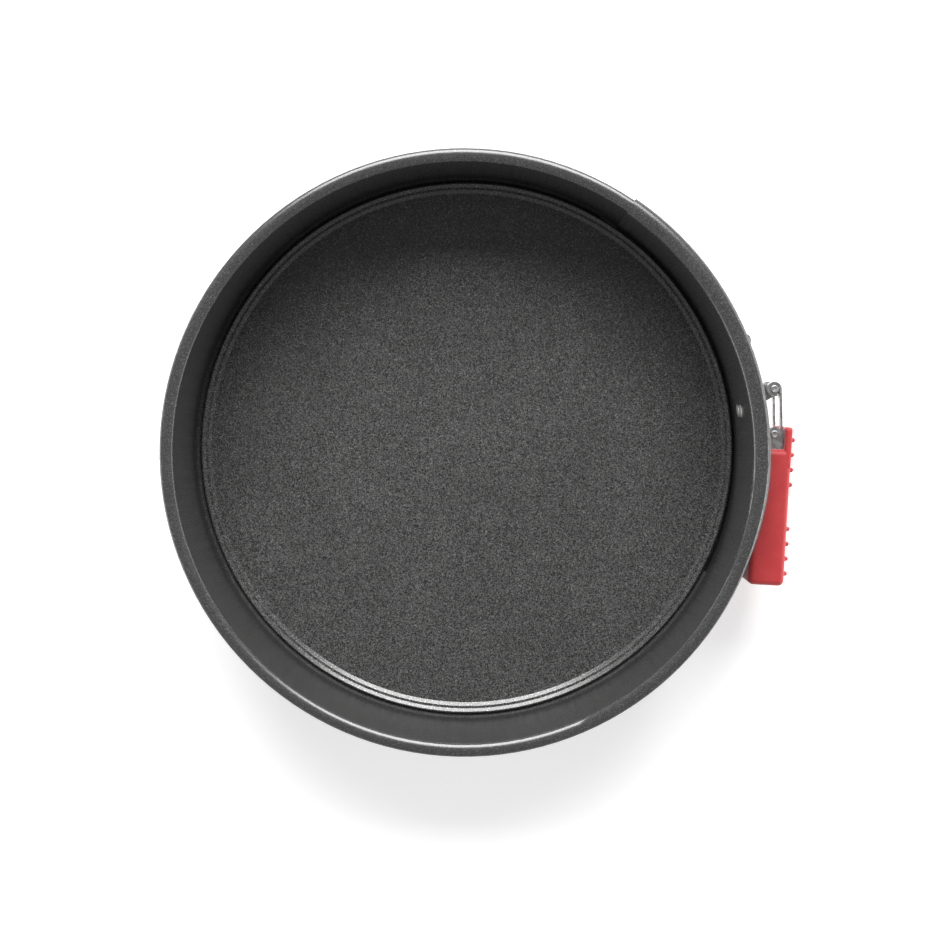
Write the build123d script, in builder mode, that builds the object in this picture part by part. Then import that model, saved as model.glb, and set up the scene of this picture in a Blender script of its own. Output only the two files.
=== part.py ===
from build123d import *
import os
from math import cos, radians, sin, sqrt

# Springform cake pan, millimetres, +Z up, standing on Z = 0 with the pan's own axis on Z.
# The latch is on the +X side. One steel strip makes the side: its clockwise end is a tongue
# that lies inside the other end and wraps that end's rolled rim.

# ---- driving dimensions ----
pan_radius = 120.0        # inside of the side wall
band_height = 68.0        # top of the rolled rim
sheet = 0.6               # steel strip of the side
lap_gap = 0.3             # air between the two ends of the strip
lip_width = 4.6           # inward lip that the base stands on

corner_radius = 1.3       # the rim's tight inner bend
corner_turn = 125.0       # where the bend meets the crown, from outwards, anticlockwise
crown_radius = 4.4        # the rim's flatter top
crown_turn = 68.0         # where the crown meets the roll
roll_radius = 1.4         # the rim's round outer edge
roll_end = -100.0         # where the roll stops

bead_depth = 1.4          # pressed inwards round the base's edge, which it keeps central
bead_low = 3.2
bead_high = 8.4
bead_from = 60.0          # clear of the lapped ends, degrees from +X
bead_to = 333.0

strip_end = 15.0          # hidden end of the outer strip, degrees from +X
tongue_end = 56.0         # visible end of the tongue
tongue_start = -2.0       # from here on the strip lies inwards by one lap
blend_start = -25.0       # the strip starts to ease inwards here
blend_steps = 5

base_sheet = 0.8
base_radius = 118.2       # outside of the base's turned-down edge
base_floor = 7.2          # top of the baking surface
base_foot = 1.6           # bottom of the turned-down edge
step_rise = 1.0           # each of the two steps at the base's edge
step_run = 1.5
step_round = 0.4
inner_step_radius = 114.9
outer_step_radius = 117.5

latch_low = 23.0          # lower edge of the lever's sheet metal
latch_high = 47.0
metal = 1.0               # lever and bracket sheet
pin_radius = 1.6
pin_play = 0.05
fulcrum = (130.75, 27.05)     # lever hinge, on the bracket
link_joint = (130.9, 8.0)     # link hinge, on the lever
catch_point = (118.75, 47.6)  # pin that the link hooks over

lap_step = sheet + lap_gap
latch_middle = (latch_low + latch_high) / 2


def radial_plane(angle):
    """The upright plane through the pan's axis, with its first axis pointing outwards."""
    a = radians(angle)
    return Plane(origin=(0, 0, 0), x_dir=(cos(a), sin(a), 0), z_dir=(sin(a), -cos(a), 0))


def polar(radius, angle):
    """The point at that radius and angle, in degrees, from the pan's axis."""
    return (radius * cos(radians(angle)), radius * sin(radians(angle)))


def around(centre, radius, angle):
    """The point at that radius and angle, in degrees, from a centre."""
    x, y = polar(radius, angle)
    return (centre[0] + x, centre[1] + y)


# ---- the rim's three bends, one tangent to the next, have fixed centres ----
crown_centre = (
    pan_radius + corner_radius + (corner_radius - crown_radius) * cos(radians(corner_turn)),
    band_height - crown_radius,
)
corner_centre = around(crown_centre, crown_radius - corner_radius, corner_turn)
roll_centre = around(crown_centre, crown_radius - roll_radius, crown_turn)


def rim_side(grow):
    """Draws one face of the rim, from the wall over the crown to the roll's end, grown by a distance."""
    bends = (
        (corner_centre, corner_radius, 180.0, corner_turn),
        (crown_centre, crown_radius, corner_turn, crown_turn),
        (roll_centre, roll_radius, crown_turn, roll_end),
    )
    for centre, radius, start, end in bends:
        ThreePointArc(*[around(centre, radius + grow, angle) for angle in (start, (start + end) / 2, end)])


def strip_section(inset):
    """Draws the strip's cross-section: lip, wall and rolled rim, moved inwards by inset."""
    inner = pan_radius - inset
    outer = inner + sheet
    low = inset
    lip_end = pan_radius - lip_width
    wall_top = corner_centre[1]
    with BuildLine() as outline:
        Polyline((inner, wall_top), (inner, low + sheet), (lip_end, low + sheet),
                 (lip_end, low), (outer, low), (outer, wall_top))
        rim_side(inset)
        rim_side(inset - sheet)
        Line(around(roll_centre, roll_radius + inset, roll_end),
             around(roll_centre, roll_radius + inset - sheet, roll_end))
    make_face(outline.edges())


def eased(share):
    """A smooth rise from 0 to 1."""
    return share * share * (3 - 2 * share)


# ---- rivet places, shared by the strip, the brackets and the rivets ----
bracket_rivet_angle = 8.5
catch_rivet_angle = 29.0
rivet_spread = 8.4
rivet_heights = (latch_middle - rivet_spread / 2, latch_middle + rivet_spread / 2)
rivet_radius = 1.6
rivet_head_radius = 2.9   # inside the pan
rivet_tail_radius = 2.1   # outside, between the bracket's ears

# ---- side_band: one strip, its tongue inside its other end ----
with BuildPart() as side_band:
    with BuildSketch(radial_plane(strip_end)):
        strip_section(0)
    revolve(axis=Axis.Z, revolution_arc=360 + blend_start - strip_end)
    with BuildSketch(radial_plane(tongue_start)):
        strip_section(lap_step)
    revolve(axis=Axis.Z, revolution_arc=tongue_end - tongue_start)
    for step in range(blend_steps + 1):
        share = step / blend_steps
        with BuildSketch(radial_plane(blend_start + share * (tongue_start - blend_start))):
            strip_section(lap_step * eased(share))
    loft()
    for height in rivet_heights:
        for rivet_angle in (bracket_rivet_angle, catch_rivet_angle):
            low_radius = pan_radius - 2 * sheet if rivet_angle < strip_end else pan_radius - lap_gap / 2
            hole_plane = Plane(
                origin=(*polar(low_radius, rivet_angle), height),
                z_dir=(*polar(1, rivet_angle), 0),
            )
            with BuildSketch(hole_plane):
                Circle(rivet_radius)
            extrude(amount=2 * sheet, mode=Mode.SUBTRACT)
    bead_sweep = bead_to - bead_from
    with BuildSketch(radial_plane(bead_from)):
        with BuildLine():
            Polyline(
                (pan_radius + sheet / 2, bead_low),
                (pan_radius, bead_low),
                (pan_radius - bead_depth, bead_low + bead_depth),
                (pan_radius - bead_depth, bead_high - bead_depth),
                (pan_radius, bead_high),
                (pan_radius + sheet / 2, bead_high),
                close=True,
            )
        make_face()
    revolve(axis=Axis.Z, revolution_arc=bead_sweep)
    groove_skew = sheet * (sqrt(2) - 1)
    with BuildSketch(radial_plane(bead_from)):
        with BuildLine():
            Polyline(
                (pan_radius + 2 * sheet, bead_low + groove_skew - sheet),
                (pan_radius + sheet - bead_depth, bead_low + bead_depth + groove_skew),
                (pan_radius + sheet - bead_depth, bead_high - bead_depth - groove_skew),
                (pan_radius + 2 * sheet, bead_high - groove_skew + sheet),
                close=True,
            )
        make_face()
    revolve(axis=Axis.Z, revolution_arc=bead_sweep, mode=Mode.SUBTRACT)
side_band.part.label = "side_band"

# ---- base_plate: loose disc with two raised steps at its edge ----
with BuildPart() as base_plate:
    with BuildSketch(Plane.XZ) as base_half:
        with BuildLine():
            Polyline(
                (0, base_floor),
                (inner_step_radius - step_run, base_floor),
                (inner_step_radius, base_floor + step_rise),
                (outer_step_radius - step_run, base_floor + step_rise),
                (outer_step_radius, base_floor + 2 * step_rise),
                (base_radius, base_floor + 2 * step_rise - base_sheet),
                (base_radius, base_foot),
                (base_radius - base_sheet, base_foot),
                (base_radius - base_sheet, base_floor + step_rise - base_sheet),
                (inner_step_radius + base_sheet / 2, base_floor + step_rise - base_sheet),
                (inner_step_radius - step_run + base_sheet / 2, base_floor - base_sheet),
                (0, base_floor - base_sheet),
                close=True,
            )
        make_face()
        bends = base_half.vertices().filter_by(lambda v: v.X > base_sheet and v.Y > base_foot + base_sheet)
        fillet(bends, radius=step_round)
    revolve(axis=Axis.Z)
base_plate.part.label = "base_plate"

# ---- lever_bracket: riveted to the tongue side, its two ears carry the fulcrum ----
ear = 1.0
ear_radius = 3.0
ear_gap = 0.4             # between an ear and the link
ear_root = 8.2            # lower edge of the ears at the plate, degrees from +X
link_low, link_high = 29.0, 41.0
upper_ear = link_high + ear_gap
lower_ear = link_low - ear_gap - ear
plate_play = 0.05         # between a bracket's plate and the strip
pin_seat = 0.02           # between a fixed pin and its hole
bracket_inner = pan_radius - lap_step + sheet + plate_play
bracket_outer = bracket_inner + metal
bracket_from, bracket_to = 2.5, 12.5


def curved_plate(inner, outer, angle_from, angle_to):
    """Draws a plate bent to the pan's curve, between two angles."""
    middle = (angle_from + angle_to) / 2
    with BuildLine() as outline:
        ThreePointArc(polar(inner, angle_from), polar(inner, middle), polar(inner, angle_to))
        Line(polar(inner, angle_to), polar(outer, angle_to))
        ThreePointArc(polar(outer, angle_to), polar(outer, middle), polar(outer, angle_from))
        Line(polar(outer, angle_from), polar(inner, angle_from))
    make_face(outline.edges())


with BuildPart() as lever_bracket:
    with BuildSketch(Plane.XY.offset(lower_ear)):
        curved_plate(bracket_inner, bracket_outer, bracket_from, bracket_to)
    extrude(amount=upper_ear + ear - lower_ear)
    for level in (lower_ear, upper_ear):
        with BuildSketch(Plane.XY.offset(level)):
            with BuildLine():
                Polyline(
                    polar(bracket_inner + metal / 2, ear_root),
                    around(fulcrum, ear_radius, -70),
                    around(fulcrum, ear_radius, 120),
                    polar(bracket_inner + metal / 2, bracket_to),
                    close=True,
                )
            make_face()
            with Locations(fulcrum):
                Circle(ear_radius)
                Circle(pin_radius + pin_seat, mode=Mode.SUBTRACT)
        extrude(amount=ear)
    for height in rivet_heights:
        rivet_plane = Plane(
            origin=(*polar(bracket_inner - metal, bracket_rivet_angle), height),
            z_dir=(*polar(1, bracket_rivet_angle), 0),
        )
        with BuildSketch(rivet_plane):
            Circle(rivet_radius)
        extrude(amount=3 * metal, mode=Mode.SUBTRACT)
lever_bracket.part.label = "lever_bracket"

# ---- catch_bracket: riveted to the outer strip, its middle tab is rolled round the catch pin ----
catch_inner = pan_radius + sheet + plate_play
catch_outer = catch_inner + metal
catch_from, catch_to = 24.0, 34.0
tab_low, tab_high = 32.5, 37.5
knuckle_radius = 2.85
tab_root = 0.2            # how far the tab starts inside the plate
tab_width = 0.9           # degrees
with BuildPart() as catch_bracket:
    with BuildSketch(Plane.XY.offset(lower_ear)):
        curved_plate(catch_inner, catch_outer, catch_from, catch_to)
    extrude(amount=upper_ear + ear - lower_ear)
    with BuildSketch(Plane.XY.offset(tab_low)):
        with BuildLine():
            Polyline(
                polar(catch_inner + tab_root, catch_from),
                around(catch_point, knuckle_radius, 215),
                around(catch_point, knuckle_radius - metal, 190),
                around(catch_point, knuckle_radius, 150),
                polar(catch_outer - tab_root, catch_from + tab_width),
                polar(catch_inner + tab_root, catch_from + tab_width),
                close=True,
            )
        make_face()
        with Locations(catch_point):
            Circle(knuckle_radius)
            Circle(pin_radius + pin_seat, mode=Mode.SUBTRACT)
    extrude(amount=tab_high - tab_low)
    for height in rivet_heights:
        rivet_plane = Plane(
            origin=(*polar(catch_inner - metal, catch_rivet_angle), height),
            z_dir=(*polar(1, catch_rivet_angle), 0),
        )
        with BuildSketch(rivet_plane):
            Circle(rivet_radius)
        extrude(amount=3 * metal, mode=Mode.SUBTRACT)
catch_bracket.part.label = "catch_bracket"


# ---- rivets ----
head_height = 0.7
tail_height = 1.0
head_crown = 0.6          # flat top of a head, as a share of its radius
head_rim = 0.45           # height of a head's upright rim, as a share of its height
head_play = 0.06          # under the head inside the pan
tail_play = 0.03


def rivet_profile(inner_face, outer_face, has_head):
    """Draws half a rivet, upright, with its length along the second axis."""
    head = [(0, inner_face)]
    if has_head:
        head = [
            (0, inner_face - head_height),
            (rivet_head_radius * head_crown, inner_face - head_height),
            (rivet_head_radius, inner_face - head_height * head_rim),
            (rivet_head_radius, inner_face),
        ]
    tail = [
        (rivet_tail_radius, outer_face),
        (rivet_tail_radius, outer_face + tail_height * head_rim),
        (rivet_tail_radius * head_crown, outer_face + tail_height),
        (0, outer_face + tail_height),
    ]
    with BuildLine() as outline:
        Polyline(*head, (rivet_radius, inner_face), (rivet_radius, outer_face), *tail, close=True)
    make_face(outline.edges())


def rivet_frame(angle, height):
    """The plane whose second axis points outwards at that angle, at that height."""
    outward = Vector(*polar(1, angle), 0)
    up = Vector(0, 0, 1)
    return Plane(origin=(0, 0, height), x_dir=up, z_dir=up.cross(outward))


with BuildPart() as lever_bracket_rivets:
    for height in rivet_heights:
        frame = rivet_frame(bracket_rivet_angle, height)
        with BuildSketch(frame):
            rivet_profile(pan_radius - lap_step - head_play, bracket_outer + tail_play, True)
        revolve(axis=Axis(frame.origin, frame.y_dir))
lever_bracket_rivets.part.label = "lever_bracket_rivets"

with BuildPart() as catch_bracket_rivets:
    for height in rivet_heights:
        frame = rivet_frame(catch_rivet_angle, height)
        with BuildSketch(frame):
            rivet_profile(pan_radius + pin_seat, catch_outer + tail_play, False)
        revolve(axis=Axis(frame.origin, frame.y_dir))
catch_bracket_rivets.part.label = "catch_bracket_rivets"

# ---- lever: arms rolled round the fulcrum pins, then a channel inside the sleeve ----
lever_lean = 3.0          # the sleeve leans this many degrees towards the pan at its free end
roll_outside = 3.1
arm_low = (latch_low, 27.2)
arm_high = (42.8, latch_high)
channel_face = 134.2      # outer face of the channel, from the pan's axis, along its own normal
channel_depth = 9.2
channel_end = -45.1
window_edge = 10.0        # the sheet between the arms starts below this
cheek_radius = 3.0        # round the link's pin
cheek_slope = 4.0         # the cheeks' inner edge starts this far below the window
lean_out = (cos(radians(lever_lean)), -sin(radians(lever_lean)))
lean_up = (sin(radians(lever_lean)), cos(radians(lever_lean)))


def lean_point(outwards, along):
    """A point of the leaning lever: distance outwards from the pan's axis, and along the lever."""
    return (outwards * lean_out[0] + along * lean_up[0], outwards * lean_out[1] + along * lean_up[1])


bend = lean_point(channel_face, window_edge)
bend_in = lean_point(channel_face - metal, window_edge)


def arm_outline():
    """Draws one arm from above: an open roll round the fulcrum and the flat down to the bend."""
    bore = pin_radius + pin_play
    with BuildLine() as outline:
        ThreePointArc(around(fulcrum, roll_outside, 0), around(fulcrum, roll_outside, 150),
                      around(fulcrum, roll_outside, 300))
        Line(around(fulcrum, roll_outside, 300), around(fulcrum, bore, 300))
        ThreePointArc(around(fulcrum, bore, 300), around(fulcrum, bore, 150), around(fulcrum, bore, 0))
        Polyline(around(fulcrum, bore, 0), around(fulcrum, roll_outside - metal, 0), bend_in, bend,
                 around(fulcrum, roll_outside, 0))
    make_face(outline.edges())


with BuildPart() as lever:
    for low, high in (arm_low, arm_high):
        with BuildSketch(Plane.XY.offset(low)):
            arm_outline()
        extrude(amount=high - low)
    with BuildSketch(Plane.XY.offset(latch_low)):
        with BuildLine():
            Polyline(bend, bend_in, lean_point(channel_face - metal, channel_end),
                     lean_point(channel_face, channel_end), close=True)
        make_face()
    extrude(amount=latch_high - latch_low)
    for level in (latch_low, latch_high - metal):
        with BuildSketch(Plane.XY.offset(level)):
            with BuildLine():
                Polyline(
                    bend,
                    around(link_joint, cheek_radius, 45),
                    around(link_joint, cheek_radius, 180),
                    lean_point(channel_face - channel_depth, window_edge - cheek_slope),
                    lean_point(channel_face - channel_depth, channel_end),
                    lean_point(channel_face, channel_end),
                    close=True,
                )
            make_face()
            with Locations(link_joint):
                Circle(cheek_radius)
                Circle(pin_radius + pin_seat, mode=Mode.SUBTRACT)
        extrude(amount=metal)
lever.part.label = "lever"

# ---- pins: two short fulcrum pins, the link's pin and the catch pin ----
pin_end = 0.6
with BuildPart() as fulcrum_pins:
    for low, high in ((latch_low - pin_end, lower_ear + ear), (upper_ear, latch_high + pin_end)):
        with BuildSketch(Plane.XY.offset(low)):
            with Locations(fulcrum):
                Circle(pin_radius)
        extrude(amount=high - low)
fulcrum_pins.part.label = "fulcrum_pins"

with BuildPart() as link_pin:
    with BuildSketch(Plane.XY.offset(latch_low - pin_end)):
        with Locations(link_joint):
            Circle(pin_radius)
    extrude(amount=latch_high - latch_low + 2 * pin_end)
link_pin.part.label = "link_pin"

with BuildPart() as catch_pin:
    with BuildSketch(Plane.XY.offset(link_low - pin_end)):
        with Locations(catch_point):
            Circle(pin_radius)
    extrude(amount=link_high - link_low + 2 * pin_end)
catch_pin.part.label = "catch_pin"

# ---- draw_link: flat link with an eye on the lever and two hooks over the catch pin ----
link_angle = 19.2         # the way the link's flat faces, from +X
link_face = 128.9         # outer face of the link's flat, from the pan's axis
link_sheet = 0.9
link_bend = -17.9         # along the link, where it turns towards its eye, beside the fulcrum
eye_radius = 2.75
hook_outside = 2.9
hook_bore = 1.95
hook_from, hook_to = -74.0, 112.0
fork_gap = 0.35           # room beside the catch bracket's tab
fork_depth = 1.2          # room round the catch bracket's knuckle
face_dir = polar(1, link_angle)
along_dir = (-face_dir[1], face_dir[0])


def link_point(outwards, along):
    """A point of the link: distance outwards from the pan's axis, and along the link."""
    return (outwards * face_dir[0] + along * along_dir[0], outwards * face_dir[1] + along * along_dir[1])


hook_along = catch_point[0] * along_dir[0] + catch_point[1] * along_dir[1]
link_back = link_face - link_sheet
eye_tangent = (link_joint[0] - eye_radius, link_joint[1])
with BuildPart() as draw_link:
    with BuildSketch(Plane.XY.offset(link_low)):
        with BuildLine():
            Polyline(
                (eye_tangent[0] + link_sheet, eye_tangent[1]),
                eye_tangent,
                link_point(link_back, link_bend),
                link_point(link_back, hook_along - hook_bore),
                link_point(link_face, hook_along - hook_bore),
                link_point(link_face, link_bend),
                close=True,
            )
        make_face()
        with Locations(link_joint):
            Circle(eye_radius)
            Circle(pin_radius + pin_play, mode=Mode.SUBTRACT)
    extrude(amount=link_high - link_low)
    with BuildSketch(Plane.XY.offset(link_low)):
        hook_middle = (hook_from + hook_to) / 2
        with BuildLine():
            ThreePointArc(around(catch_point, hook_outside, hook_from),
                          around(catch_point, hook_outside, hook_middle),
                          around(catch_point, hook_outside, hook_to))
            Line(around(catch_point, hook_outside, hook_to), around(catch_point, hook_bore, hook_to))
            ThreePointArc(around(catch_point, hook_bore, hook_to),
                          around(catch_point, hook_bore, hook_middle),
                          around(catch_point, hook_bore, hook_from))
            Line(around(catch_point, hook_bore, hook_from), around(catch_point, hook_outside, hook_from))
        make_face()
    extrude(amount=link_high - link_low)
    with BuildSketch(Plane.XY.offset(tab_low - fork_gap)):
        with Locations(catch_point):
            Circle(knuckle_radius + fork_depth)
    extrude(amount=tab_high - tab_low + 2 * fork_gap, mode=Mode.SUBTRACT)
draw_link.part.label = "draw_link"

# ---- lever_sleeve: soft grip over the channel, with a lip over the link's joint and rows of nubs ----
sleeve_outer = 137.45
sleeve_inner = 122.4
sleeve_low, sleeve_high = 19.0, 51.0
sleeve_top = 8.6         # open end, along the lever
sleeve_end = -48.9        # closed end
lip_reach = 9.6
lip_inner = 134.4
notch_low, notch_high = link_low - 1.0, link_high + 1.0
nub_pitch = 6.3          # from nub to nub along the lever
nub_rise = 8.2           # and upwards
nub_radius = 1.0
nub_height = 1.7
nub_columns = (12.8, -24.8)   # first nub of each group, along the lever
nub_rows = 4
nub_sink = 0.3            # how far a nub's root lies inside the grip
nub_taper = 14.0
sleeve_round = 2.2
sleeve_play = 0.1
mouth = 0.8               # the notch reaches this far below the lip
beyond = 1.0              # how far a cut runs past the grip's open end
nub_places = [start - row * nub_pitch for start in nub_columns for row in range(nub_rows)]
nub_levels = [latch_middle + (level - (nub_rows - 1) / 2) * nub_rise for level in range(nub_rows)]
with BuildPart() as lever_sleeve:
    with BuildSketch(Plane.XY.offset(sleeve_low)):
        with BuildLine():
            Polyline(
                lean_point(sleeve_inner, sleeve_top),
                lean_point(lip_inner, sleeve_top),
                lean_point(lip_inner, sleeve_top + lip_reach),
                lean_point(sleeve_outer, sleeve_top + lip_reach),
                lean_point(sleeve_outer, sleeve_end),
                lean_point(sleeve_inner, sleeve_end),
                close=True,
            )
        make_face()
    extrude(amount=sleeve_high - sleeve_low)
    upright = lever_sleeve.edges().filter_by(Axis.Z)
    fillet(upright.group_by(Axis.Y)[0], radius=sleeve_round)
    with BuildSketch(Plane.XY.offset(latch_low - sleeve_play)):
        with BuildLine():
            Polyline(
                lean_point(channel_face - channel_depth - sleeve_play, sleeve_top + beyond),
                lean_point(channel_face + sleeve_play, sleeve_top + beyond),
                lean_point(channel_face + sleeve_play, channel_end - sleeve_play),
                lean_point(channel_face - channel_depth - sleeve_play, channel_end - sleeve_play),
                close=True,
            )
        make_face()
    extrude(amount=latch_high - latch_low + 2 * sleeve_play, mode=Mode.SUBTRACT)
    with BuildSketch(Plane.XY.offset(notch_low)):
        with BuildLine():
            Polyline(
                lean_point(sleeve_inner, sleeve_top + mouth),
                lean_point(sleeve_outer + beyond, sleeve_top + mouth),
                lean_point(sleeve_outer + beyond, sleeve_top + lip_reach + beyond),
                lean_point(sleeve_inner, sleeve_top + lip_reach + beyond),
                close=True,
            )
        make_face()
    extrude(amount=notch_high - notch_low, mode=Mode.SUBTRACT)
    for along in nub_places:
        for level in nub_levels:
            if along > sleeve_top and notch_low - nub_radius < level < notch_high + nub_radius:
                continue
            nub_plane = Plane(origin=(*lean_point(sleeve_outer - nub_sink, along), level), z_dir=(*lean_out, 0))
            with BuildSketch(nub_plane):
                Circle(nub_radius)
            extrude(amount=nub_height + nub_sink, taper=nub_taper)
lever_sleeve.part.label = "lever_sleeve"

os.makedirs("parts", exist_ok=True)
made = [side_band, base_plate, lever_bracket, lever_bracket_rivets, catch_bracket, catch_bracket_rivets,
        fulcrum_pins, lever, link_pin, catch_pin, draw_link, lever_sleeve]
for piece in made:
    export_step(piece.part, f"parts/{piece.part.label}.step")
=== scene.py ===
from math import cos, pi, radians, sin

import bmesh
import bpy
from mathutils import Matrix, Vector


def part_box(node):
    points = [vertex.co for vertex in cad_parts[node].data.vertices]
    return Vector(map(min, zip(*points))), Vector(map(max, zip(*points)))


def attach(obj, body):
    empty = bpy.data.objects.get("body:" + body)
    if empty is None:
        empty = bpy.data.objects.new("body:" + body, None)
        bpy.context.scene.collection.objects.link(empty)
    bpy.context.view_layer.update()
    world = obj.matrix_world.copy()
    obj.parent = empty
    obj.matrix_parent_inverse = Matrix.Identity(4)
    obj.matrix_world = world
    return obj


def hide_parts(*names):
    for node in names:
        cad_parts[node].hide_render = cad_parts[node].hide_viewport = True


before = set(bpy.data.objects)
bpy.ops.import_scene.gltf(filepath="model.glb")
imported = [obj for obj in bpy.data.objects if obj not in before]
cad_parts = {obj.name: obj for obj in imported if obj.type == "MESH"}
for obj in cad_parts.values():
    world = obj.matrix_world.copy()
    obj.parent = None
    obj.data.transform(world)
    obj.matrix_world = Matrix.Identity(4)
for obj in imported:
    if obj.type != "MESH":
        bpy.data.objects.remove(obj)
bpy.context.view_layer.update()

# Springform pan: finishes for the steel parts, and finer meshes for the grip, the rivets and the pins.
# Everything is in metres, +Z up, with the pan's own axis on Z and the latch on the +X side.

MM = 0.001

# ---- driving values: the pan's side, and its rivets ----
pan_radius = 120.0 * MM
lap_step = 0.9 * MM             # the inner end of the lapped strip lies this far inside the outer one
rivet_angles = {"lever_bracket_rivets": 8.5, "catch_bracket_rivets": 29.0}
shank_radius = 1.6 * MM
head_radius, head_height = 2.9 * MM, 0.7 * MM
tail_radius, tail_height = 2.1 * MM, 1.0 * MM
head_play, root_play = 0.06 * MM, 0.02 * MM
lever_bracket_face = 0.78 * MM  # the bracket's outside, beyond the inside of the pan's wall
catch_bracket_face = 1.68 * MM
pin_edge = 0.28 * MM            # the round of a pin's end
bracket_ear = 1.0 * MM          # what an ear covers of the fulcrum pin

# ---- driving values: the lever's channel and its grip, measured outwards and along the leaning lever ----
lever_lean = radians(3.0)
sleeve_outer, sleeve_inner = 137.45 * MM, 122.4 * MM
sleeve_top, sleeve_end = 8.6 * MM, -48.9 * MM
lip_reach, lip_inner = 9.6 * MM, 134.4 * MM
lip_root = sleeve_top - 8.0 * MM
channel_face, channel_depth, channel_end = 134.2 * MM, 9.2 * MM, -45.1 * MM
channel_play = 0.1 * MM
grip_round, lip_round = 2.3 * MM, 1.3 * MM
notch_mouth = 0.8 * MM
notch_depth = 14.0 * MM
notch_room = 1.0 * MM           # above and below the link, and past the grip's open end
grip_mesh = 0.28 * MM
nub_pitch, nub_rise = 6.3 * MM, 8.2 * MM
nub_radius, nub_height = 1.0 * MM, 1.6 * MM
nub_root = 1.2 * MM
nub_rows = 4
nub_columns = (12.8 * MM, -24.8 * MM)


# ---------------------------------------------------------------- shader tools
class Wire:
    """A value running between shader nodes. Its sums and products add Math nodes."""

    def __init__(self, nodes, socket):
        self.nodes = nodes
        self.socket = socket

    def math(self, operation, first, second):
        return self.nodes.add("ShaderNodeMath", {"operation": operation}, {0: first, 1: second})

    def __add__(self, other):
        return self.math("ADD", self, other)

    def __radd__(self, other):
        return self.math("ADD", other, self)

    def __mul__(self, other):
        return self.math("MULTIPLY", self, other)

    def __rmul__(self, other):
        return self.math("MULTIPLY", other, self)


class Nodes:
    """A node tree, with one method that adds any node."""

    def __init__(self, tree):
        self.tree = tree

    def add(self, kind, settings=None, values=None, out=0):
        """Adds a node: its settings first, then the values or wires of its sockets."""
        node = self.tree.nodes.new(kind)
        for name, value in (settings or {}).items():
            if name == "stops":
                self.set_stops(node.color_ramp, value)
            else:
                setattr(node, name, value)
        for key, value in (values or {}).items():
            self.feed(node.inputs[key], value)
        return Wire(self, node.outputs[out])

    def feed(self, socket, value):
        """Links a wire to a socket, or sets the socket's own value."""
        if isinstance(value, Wire):
            self.tree.links.new(value.socket, socket)
        else:
            socket.default_value = value

    def set_stops(self, ramp, stops):
        """Gives a ramp its stops, each a place from 0 to 1 and a grey level or a colour."""
        while len(ramp.elements) < len(stops):
            ramp.elements.new(1.0)
        for element, (place, level) in zip(ramp.elements, stops):
            element.position = place
            element.color = level if isinstance(level, tuple) else (level, level, level, 1.0)


class Finish(Nodes):
    """A material with one Principled shader, and the textures that its pieces share."""

    def __init__(self, name):
        self.material = bpy.data.materials.new(name)
        self.material.use_nodes = True
        super().__init__(self.material.node_tree)
        self.shader = self.tree.nodes["Principled BSDF"]
        self.place = self.add("ShaderNodeTexCoord", out="Object")

    def set(self, **sockets):
        """Sets the shader's sockets, named with _ for a space."""
        for name, value in sockets.items():
            self.feed(self.shader.inputs[name.replace("_", " ")], value)

    def stretched(self, sizes):
        """The place in the piece, with each axis divided by a size, so that one unit is one grain."""
        scale = tuple(1 / size for size in sizes)
        return self.add("ShaderNodeVectorMath", {"operation": "MULTIPLY"}, {0: self.place, 1: scale})

    def noise(self, size, detail=2.0, rough=0.5):
        """Soft noise with grains of that size in metres, or of a size for each axis."""
        where = self.stretched(size if isinstance(size, tuple) else (size, size, size))
        return self.add("ShaderNodeTexNoise", None,
                        {"Vector": where, "Scale": 1.0, "Detail": detail, "Roughness": rough})

    def cells(self, size, out):
        """Random cells of that size: their Distance from the middle, or their Color."""
        where = self.stretched((size, size, size))
        return self.add("ShaderNodeTexVoronoi", None, {"Vector": where, "Scale": 1.0}, out)

    def ramp(self, wire, *stops):
        """A wire's level, reshaped by a ramp's stops."""
        return self.add("ShaderNodeValToRGB", {"stops": stops}, {0: wire})

    def blend(self, share, first, second):
        """One colour mixed into another."""
        return self.add("ShaderNodeMix", {"data_type": "RGBA"}, {0: share, 6: first, 7: second}, 2)

    def bump(self, height, depth, strength=1.0):
        """Raises the surface by a height from 0 to 1, times a depth in metres."""
        values = {"Height": height, "Distance": depth, "Strength": strength}
        self.set(Normal=self.add("ShaderNodeBump", None, values))


def grey(level, warmth=0.0):
    """A grey with a little warmth, as a colour with its alpha."""
    return (level * (1 + warmth), level, level * (1 - warmth), 1.0)


# ---------------------------------------------------------------- finishes
FLECK = 0.50 * MM
SHEET_EDGE = 0.14 * MM


def speckled_coating(name, dark, light, sparkle):
    """Dark glossy non-stick coating, full of fine light metal flecks, more or less of them showing."""
    finish = Finish(name)
    grain = finish.noise(FLECK, detail=2.0, rough=0.6)
    fine = finish.noise(FLECK * 0.45, detail=1.0)
    cloud = finish.noise(34 * MM, detail=3.0)
    worn = finish.noise(7 * MM, detail=4.0, rough=0.65)
    flake = finish.ramp(finish.cells(FLECK * 0.9, "Color"), (0.70, 0.0), (0.84, 1.0))
    speckle = finish.ramp(grain * 0.75 + fine * 0.25, (0.40, 0.0), (0.50, 0.34), (0.60, 1.0))
    body = finish.blend(speckle, grey(dark), grey(light, 0.01))
    body = finish.blend(flake * speckle * sparkle, body, grey(0.36, 0.015))
    body = finish.blend(finish.ramp(cloud, (0.35, 0.0), (0.70, 0.16)), body, grey(dark))
    finish.set(
        Base_Color=body,
        Metallic=flake * sparkle * 0.4,
        Roughness=0.18 + 0.06 * worn + 0.05 * grain,
        IOR=1.75,
    )
    finish.bump(grain * 0.7 + fine * 0.3, 0.012 * MM, 0.5)
    return finish.material


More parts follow.
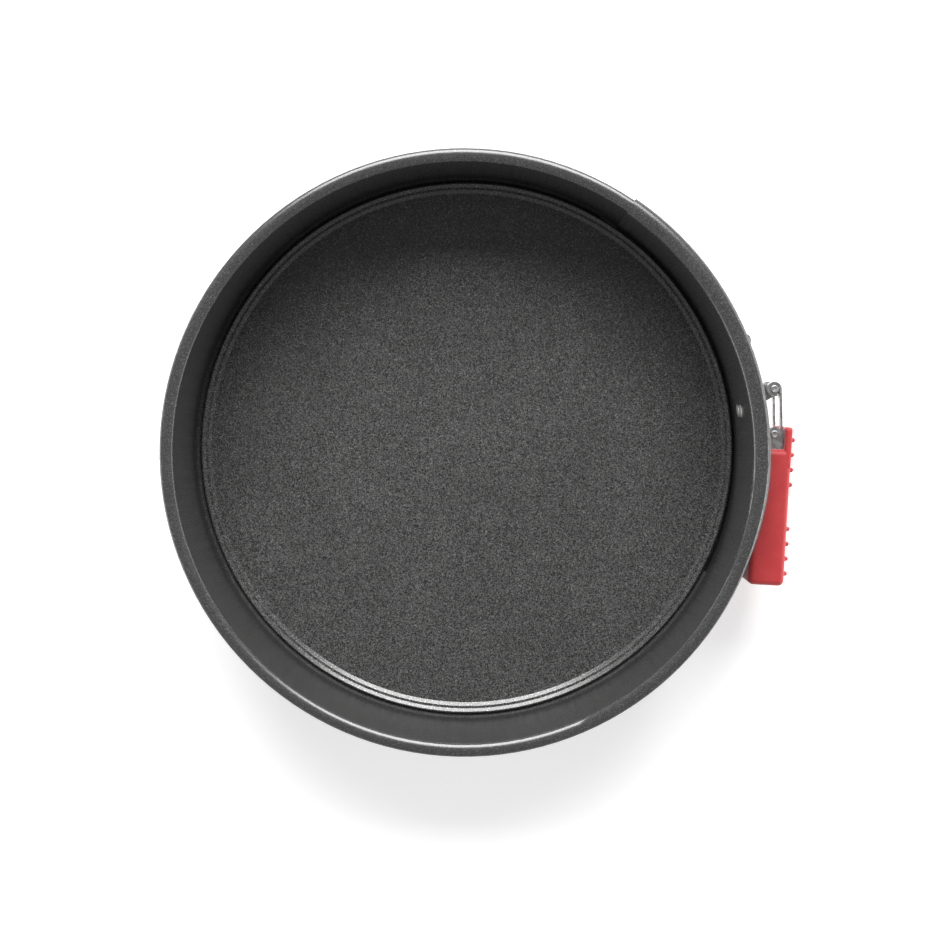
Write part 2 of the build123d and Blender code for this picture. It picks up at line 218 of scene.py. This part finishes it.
def bright_steel(name, tone, rough, rolled_grain):
    """Bright plated sheet steel with a rolled grain, faint scratches and duller patches."""
    finish = Finish(name)
    rolled = finish.noise(rolled_grain, detail=3.0, rough=0.6)
    patch = finish.noise(3.0 * MM, detail=4.0, rough=0.6)
    pits = finish.noise(0.30 * MM, detail=2.0, rough=0.7)
    dull = finish.ramp(patch, (0.42, 0.0), (0.66, 1.0))
    colour = finish.blend(dull * 0.5, grey(tone, 0.006), grey(tone * 0.80, 0.012))
    colour = finish.blend(finish.ramp(pits, (0.66, 0.0), (0.82, 0.45)), colour, grey(tone * 0.35))
    finish.set(
        Base_Color=colour,
        Metallic=1.0,
        Roughness=rough + 0.14 * dull + 0.08 * rolled,
    )
    finish.bump(rolled * 0.6 + pits * 0.4, 0.012 * MM, 0.8)
    return finish.material


def cut_steel():
    """Plain steel wire, cropped off: grey, a little pitted and oily."""
    finish = Finish("cut_steel")
    crop = finish.noise(0.42 * MM, detail=4.0, rough=0.75)
    stain = finish.noise(1.6 * MM, detail=2.0)
    colour = finish.blend(finish.ramp(crop, (0.30, 0.0), (0.72, 1.0)), grey(0.34), grey(0.80, 0.008))
    colour = finish.blend(finish.ramp(stain, (0.50, 0.0), (0.75, 0.35)), colour, grey(0.16, 0.06))
    finish.set(Base_Color=colour, Metallic=1.0, Roughness=0.26 + 0.24 * crop)
    finish.bump(crop, 0.05 * MM, 0.8)
    return finish.material


def red_silicone():
    """Matte, slightly translucent red silicone with a faint moulded texture and a dusty bloom."""
    finish = Finish("red_silicone")
    pores = finish.noise(0.30 * MM, detail=3.0, rough=0.7)
    cloud = finish.noise(9 * MM, detail=3.0)
    dust = finish.noise(2.2 * MM, detail=5.0, rough=0.7)
    red = finish.blend(finish.ramp(cloud, (0.32, 0.0), (0.70, 1.0)), (0.46, 0.030, 0.034, 1.0),
                       (0.53, 0.044, 0.048, 1.0))
    red = finish.blend(finish.ramp(dust, (0.52, 0.0), (0.80, 0.20)), red, (0.60, 0.13, 0.12, 1.0))
    finish.set(
        Base_Color=red,
        Roughness=0.46 + 0.14 * pores,
        Subsurface_Weight=0.45,
        Subsurface_Radius=(1.0, 0.22, 0.16),
        Subsurface_Scale=2.6 * MM,
        Sheen_Weight=0.12,
        Sheen_Roughness=0.45,
    )
    finish.bump(pores * 0.6 + dust * 0.4, 0.03 * MM, 0.6)
    return finish.material


# ---------------------------------------------------------------- mesh tools
def new_piece(name, mesh, material):
    """A smooth-shaded object made from a mesh, with its finish."""
    piece = placed(name, mesh)
    mesh.materials.append(material)
    for face in mesh.polygons:
        face.use_smooth = True
    return piece


def shaped(build, name):
    """A finished mesh with its faces turned outwards."""
    bmesh.ops.recalc_face_normals(build, faces=build.faces)
    mesh = bpy.data.meshes.new(name)
    build.to_mesh(mesh)
    build.free()
    return mesh


def stand_in(build, node, ending, material, body):
    """Makes a piece that rides on a body and stands for a designed part."""
    piece = new_piece(node + ending, shaped(build, node + ending), material)
    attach(piece, body)
    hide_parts(node)


def placed(name, mesh):
    """An object made from a mesh, in the scene."""
    piece = bpy.data.objects.new(name, mesh)
    bpy.context.scene.collection.objects.link(piece)
    return piece


def settled(piece, name):
    """A new mesh of a piece as its modifiers leave it."""
    seen = piece.evaluated_get(bpy.context.evaluated_depsgraph_get())
    mesh = bpy.data.meshes.new_from_object(seen)
    mesh.name = name
    return mesh


def prism(outline, low, high):
    """A closed upright prism on an outline of points, given anticlockwise."""
    build = bmesh.new()
    floor = [build.verts.new((x, y, low)) for x, y in outline]
    roof = [build.verts.new((x, y, high)) for x, y in outline]
    build.faces.new(list(reversed(floor)))
    build.faces.new(roof)
    count = len(outline)
    for i in range(count):
        j = (i + 1) % count
        build.faces.new((floor[i], floor[j], roof[j], roof[i]))
    mesh = bpy.data.meshes.new("prism")
    build.to_mesh(mesh)
    build.free()
    return mesh


def turned(build, profile, start, axis, sides=40):
    """Adds a turned solid: profile points are a radius and a distance along the axis."""
    turn = axis.to_track_quat("Z", "Y").to_matrix()
    rings = []
    for radius, along in profile:
        if radius == 0:
            rings.append([build.verts.new(start + turn @ Vector((0, 0, along)))])
            continue
        ring = []
        for side in range(sides):
            angle = 2 * pi * side / sides
            point = Vector((radius * cos(angle), radius * sin(angle), along))
            ring.append(build.verts.new(start + turn @ point))
        rings.append(ring)
    for lower, upper in zip(rings, rings[1:]):
        for side in range(sides):
            after = (side + 1) % sides
            if len(lower) == 1:
                build.faces.new((lower[0], upper[after], upper[side]))
            elif len(upper) == 1:
                build.faces.new((lower[side], lower[after], upper[0]))
            else:
                build.faces.new((lower[side], lower[after], upper[after], upper[side]))


def arc_points(centre, radii, start, end, steps):
    """Points of an arc in a profile, from one angle to another, with a radius for each axis."""
    points = []
    for step in range(steps + 1):
        angle = radians(start + (end - start) * step / steps)
        points.append((centre[0] + radii[0] * cos(angle), centre[1] + radii[1] * sin(angle)))
    return points


# ---------------------------------------------------------------- rivets and pins
def rivet_profile(inside_head):
    """Half a rivet's outline, from its inner end outwards: with a domed head, or only a shank and a tail."""
    if inside_head:
        face = pan_radius - lap_step - head_play
        tail_face = pan_radius + lever_bracket_face
        dome = arc_points((0, face), (head_radius, -head_height), 90, 0, 9)
        profile = [(0, face - head_height)] + dome[1:]
    else:
        face = pan_radius + root_play
        tail_face = pan_radius + catch_bracket_face
        profile = [(0, face)]
    profile += [(shank_radius, face), (shank_radius, tail_face)]
    profile += arc_points((0, tail_face), (tail_radius, tail_height), 0, 78, 7)
    profile.append((tail_radius * 0.12, tail_face + tail_height * 0.86))
    profile.append((0, tail_face + tail_height * 0.84))
    return profile


def rivet_piece(node, material):
    """Two rivets: a wide domed head inside the pan, where there is one, and a pressed tail outside."""
    low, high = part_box(node)
    angle = radians(rivet_angles[node])
    outward = Vector((cos(angle), sin(angle), 0))
    inside_head = node == "lever_bracket_rivets"
    widest = head_radius if inside_head else tail_radius
    middle = (low.z + high.z) / 2
    spread = (high.z - low.z) / 2 - widest
    build = bmesh.new()
    for height in (middle - spread, middle + spread):
        turned(build, rivet_profile(inside_head), Vector((0, 0, height)), outward)
    stand_in(build, node, "_formed", material, "pan_side")


def pin_piece(node, body, spans, material):
    """Round pins with softened, slightly dished ends, one for each span of heights."""
    low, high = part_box(node)
    radius = (high.x - low.x) / 2
    centre = Vector(((low.x + high.x) / 2, (low.y + high.y) / 2, 0))
    build = bmesh.new()
    for bottom, top in spans:
        lower = [(0, bottom + pin_edge * 0.35), (radius * 0.6, bottom + pin_edge * 0.22)]
        lower.append((radius - pin_edge * 1.3, bottom))
        lower += arc_points((radius - pin_edge, bottom + pin_edge), (pin_edge, pin_edge), -75, 0, 4)
        upper = [(r, bottom + top - along) for r, along in reversed(lower)]
        turned(build, lower + upper, centre, Vector((0, 0, 1)))
    stand_in(build, node, "_turned", material, body)


# ---------------------------------------------------------------- grip
def lean_point(outwards, along):
    """A point of the leaning lever: distance outwards from the pan's axis, and along the lever."""
    return (outwards * cos(lever_lean) + along * sin(lever_lean),
            along * cos(lever_lean) - outwards * sin(lever_lean))


def lean_block(inner, outer, start, end):
    """The four corners of a block that leans with the lever: its reach outwards, and along the lever."""
    return [lean_point(inner, start), lean_point(outer, start),
            lean_point(outer, end), lean_point(inner, end)]


def combine(piece, tool, operation):
    """Joins a tool to a piece, or cuts it away."""
    modifier = piece.modifiers.new(operation, "BOOLEAN")
    modifier.operation = operation
    modifier.object = tool
    modifier.solver = "EXACT"
    mesh = settled(piece, "combined")
    piece.modifiers.clear()
    piece.data = mesh
    bpy.data.objects.remove(tool)


def nub_shape(along, level):
    """One round-topped nub, standing on the grip's outer face."""
    outward = Vector((cos(lever_lean), -sin(lever_lean), 0))
    crown = nub_radius * 0.95
    profile = [(0, -nub_root), (nub_radius * 1.15, -nub_root), (nub_radius * 1.12, 0)]
    profile += arc_points((0, nub_height - crown), (nub_radius, crown), 0, 84, 6)
    profile.append((0, nub_height))
    build = bmesh.new()
    turned(build, profile, Vector((*lean_point(sleeve_outer, along), level)), outward, 20)
    return shaped(build, "nub")


def rounded_bar(name, outline, low, high, soft):
    """A bar with every edge rounded."""
    bar = placed(name, prism(outline, low, high))
    bevel = bar.modifiers.new("soft", "BEVEL")
    bevel.width = soft
    bevel.segments = 6
    bevel.limit_method = "NONE"
    bar.data = settled(bar, name)
    bar.modifiers.clear()
    return bar


def nub_places(notch_low, notch_high):
    """Where the nubs stand, along the lever and up, leaving out those over the notch."""
    low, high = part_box("lever_sleeve")
    middle = (low.z + high.z) / 2
    places = []
    for start in nub_columns:
        for row in range(nub_rows):
            for column in range(nub_rows):
                along = start - row * nub_pitch
                level = middle + (column - (nub_rows - 1) / 2) * nub_rise
                over_notch = notch_low - nub_radius < level < notch_high + nub_radius
                if along <= sleeve_top or not over_notch:
                    places.append((along, level))
    return places


def sleeve_piece(material):
    """The silicone grip: rounded body with a lip, a notch for the link, rows of nubs and a socket."""
    low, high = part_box("lever_sleeve")
    link_low, link_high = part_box("draw_link")
    lever_low, lever_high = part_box("lever")
    notch_low, notch_high = link_low.z - notch_room, link_high.z + notch_room

    body = lean_block(sleeve_inner, sleeve_outer, sleeve_end, sleeve_top)
    piece = rounded_bar("grip", body, low.z, high.z, grip_round)
    lip = lean_block(lip_inner, sleeve_outer, lip_root, sleeve_top + lip_reach)
    combine(piece, rounded_bar("lip", lip, low.z, high.z, lip_round), "UNION")

    notch = lean_block(lip_inner - notch_depth, sleeve_outer + notch_room,
                       sleeve_top + notch_mouth, sleeve_top + lip_reach + notch_room)
    combine(piece, placed("notch", prism(notch, notch_low, notch_high)), "DIFFERENCE")
    socket = lean_block(channel_face - channel_depth - channel_play, channel_face + channel_play,
                        channel_end - channel_play, sleeve_top + notch_room)
    socket_mesh = prism(socket, lever_low.z - channel_play, lever_high.z + channel_play)
    combine(piece, placed("socket", socket_mesh), "DIFFERENCE")
    for along, level in nub_places(notch_low, notch_high):
        combine(piece, placed("nub", nub_shape(along, level)), "UNION")

    remesh = piece.modifiers.new("even", "REMESH")
    remesh.mode = "VOXEL"
    remesh.voxel_size = grip_mesh
    smooth = piece.modifiers.new("soften", "SMOOTH")
    smooth.factor = 0.5
    smooth.iterations = 3
    mesh = settled(piece, "lever_sleeve_moulded")
    bpy.data.objects.remove(piece)
    grip = new_piece("lever_sleeve_moulded", mesh, material)
    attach(grip, "latch_lever")
    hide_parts("lever_sleeve")


# ---------------------------------------------------------------- steel parts that stay as designed
def dress(node, material):
    """Gives a steel part its finish."""
    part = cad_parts[node]
    part.data.materials.clear()
    part.data.materials.append(material)
    return part


def soften_edges(part):
    """Breaks the sharp edges of a sheet part, as the press leaves them."""
    bevel = part.modifiers.new("broken edges", "BEVEL")
    bevel.width = SHEET_EDGE
    bevel.segments = 2
    bevel.limit_method = "ANGLE"
    bevel.angle_limit = radians(38)
    bevel.harden_normals = True


# ---------------------------------------------------------------- stage
floor_half = 6.0
floor_drop = 0.05 * MM
camera_place = (16.0 * MM, 29.75 * MM, 799.4 * MM)
camera_backwards = (0.0174, 0.0485, 1.0)
camera_lens, camera_film = 68.03, 36.0


def stage_floor():
    """A wide pale sheet under the pan, lit a little from within like a light table."""
    corners = [(-floor_half, -floor_half, 0), (floor_half, -floor_half, 0),
               (floor_half, floor_half, 0), (-floor_half, floor_half, 0)]
    mesh = bpy.data.meshes.new("floor")
    mesh.from_pydata(corners, [], [(0, 1, 2, 3)])
    floor = placed("floor", mesh)
    floor.location.z = -floor_drop
    finish = Finish("pale_floor")
    paper = finish.noise(3 * MM, detail=4.0)
    finish.set(
        Base_Color=finish.blend(paper, grey(0.80), grey(0.82)),
        Roughness=0.9,
        Specular_IOR_Level=0.1,
        Emission_Color=(1.0, 1.0, 1.0, 1.0),
        Emission_Strength=0.54,
    )
    mesh.materials.append(finish.material)


def studio_sky():
    """Soft white surroundings, dim straight overhead."""
    world = bpy.data.worlds.new("studio")
    world.use_nodes = True
    bpy.context.scene.world = world
    sky = Nodes(world.node_tree)
    direction = sky.add("ShaderNodeTexCoord", out="Generated")
    height = sky.add("ShaderNodeSeparateXYZ", None, {0: direction}, "Z")
    level = sky.add("ShaderNodeValToRGB", {"stops": (
        (0.0, 1.0), (0.10, 1.0), (0.24, 0.34), (0.70, 0.28), (0.92, 0.18), (1.0, 0.15))}, {0: height})
    sky.feed(world.node_tree.nodes["Background"].inputs["Color"], level)


def soft_light(name, place, size, power):
    """A rectangle of soft light that faces the pan: its width, its height, and its power in watts."""
    lamp = bpy.data.lights.new(name, "AREA")
    lamp.shape = "RECTANGLE"
    lamp.size, lamp.size_y = size
    lamp.energy = power
    light = bpy.data.objects.new(name, lamp)
    bpy.context.scene.collection.objects.link(light)
    light.location = place
    light.rotation_euler = (-Vector(place)).to_track_quat("-Z", "Y").to_euler()


def camera():
    """Looks almost straight down on the pan, from a little beside its axis."""
    lens = bpy.data.cameras.new("camera")
    lens.sensor_width = camera_film
    lens.lens = camera_lens
    eye = bpy.data.objects.new("camera", lens)
    bpy.context.scene.collection.objects.link(eye)
    eye.location = camera_place
    backwards = Vector(camera_backwards).normalized()
    right = Vector((0, 1, 0)).cross(backwards).normalized()
    upwards = backwards.cross(right)
    eye.rotation_euler = Matrix((right, upwards, backwards)).transposed().to_euler()
    bpy.context.scene.camera = eye


# ---------------------------------------------------------------- the pan
dress("side_band", speckled_coating("band_coating", 0.032, 0.078, 0.30))
dress("base_plate", speckled_coating("base_coating", 0.012, 0.135, 1.0))

pressed_steel = bright_steel("pressed_steel", 0.66, 0.22, (0.25 * MM, 0.25 * MM, 6.0 * MM))
lever_steel = bright_steel("lever_steel", 0.70, 0.20, (0.22 * MM, 7.0 * MM, 0.22 * MM))
for node in ("lever_bracket", "catch_bracket"):
    soften_edges(dress(node, pressed_steel))
for node in ("lever", "draw_link"):
    soften_edges(dress(node, lever_steel))

rivet_steel = bright_steel("rivet_steel", 0.95, 0.42, (0.6 * MM, 0.6 * MM, 0.6 * MM))
for node in rivet_angles:
    rivet_piece(node, rivet_steel)

pin_steel = cut_steel()
for node, body in (("link_pin", "latch_lever"), ("catch_pin", "pan_side")):
    pin_low, pin_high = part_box(node)
    pin_piece(node, body, [(pin_low.z, pin_high.z)], pin_steel)
bracket_low, bracket_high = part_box("lever_bracket")
fulcrum_low, fulcrum_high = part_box("fulcrum_pins")
fulcrum_spans = [(fulcrum_low.z, bracket_low.z + bracket_ear),
                 (bracket_high.z - bracket_ear, fulcrum_high.z)]
pin_piece("fulcrum_pins", "pan_side", fulcrum_spans, pin_steel)

sleeve_piece(red_silicone())

# ---------------------------------------------------------------- stage, light and camera
bpy.context.scene.view_settings.view_transform = "Standard"
stage_floor()
studio_sky()
soft_light("key", (0.03, 1.12, 1.18), (1.4, 0.85), 41.0)
soft_light("left_strip", (-1.5, 0.0, 0.30), (1.8, 0.26), 8.0)
soft_light("right_strip", (1.5, 0.0, 0.30), (1.8, 0.26), 8.0)
camera()
